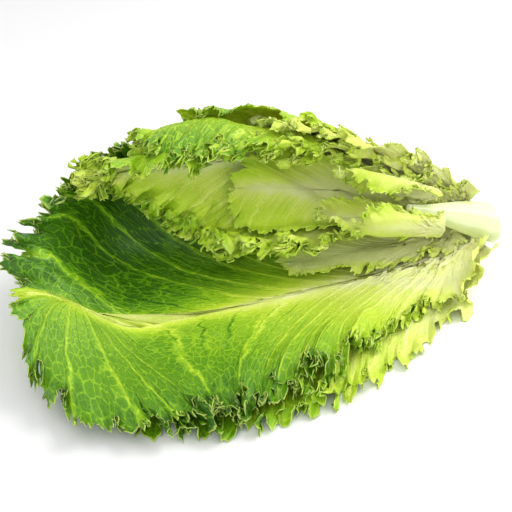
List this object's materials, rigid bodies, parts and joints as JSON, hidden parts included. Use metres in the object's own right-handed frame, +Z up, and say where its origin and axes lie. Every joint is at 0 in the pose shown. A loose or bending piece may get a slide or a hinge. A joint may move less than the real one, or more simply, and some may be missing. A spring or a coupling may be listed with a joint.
{
  "type": "leaf lettuce head",
  "caption": "Whole head of frilled green leaf lettuce lying on its side, cut at the stem, with its layered leaves opened towards the front.",
  "frame": {"origin": "middle of the bounding box's base, on the surface that the head lies on", "axes": "+X from the leaf tips to the cut stem, -Y the side on which the leaves open, +Z up from the surface that the head lies on"},
  "size_m": [0.3042, 0.2074, 0.1072],
  "materials": {
    "stem": "satin",
    "leaf_under": "satin",
    "leaf_front": "satin",
    "leaf_back_outer": "satin",
    "leaf_back_base": "satin",
    "leaf_back_upper": "satin",
    "leaf_inner_front": "satin",
    "leaf_inner_low": "satin",
    "leaf_inner_back": "satin",
    "leaf_heart_low": "satin",
    "leaf_heart_top": "satin",
    "leaf_heart_front": "satin"
  },
  "bodies": {
    "root": {"stem": "stem", "leaf_under": "leaf_under", "leaf_front": "leaf_front", "leaf_back_outer": "leaf_back_outer", "leaf_back_base": "leaf_back_base", "leaf_back_upper": "leaf_back_upper", "leaf_inner_front": "leaf_inner_front", "leaf_inner_low": "leaf_inner_low", "leaf_inner_back": "leaf_inner_back", "leaf_heart_low": "leaf_heart_low", "leaf_heart_top": "leaf_heart_top", "leaf_heart_front": "leaf_heart_front"}
  },
  "joints": []
}
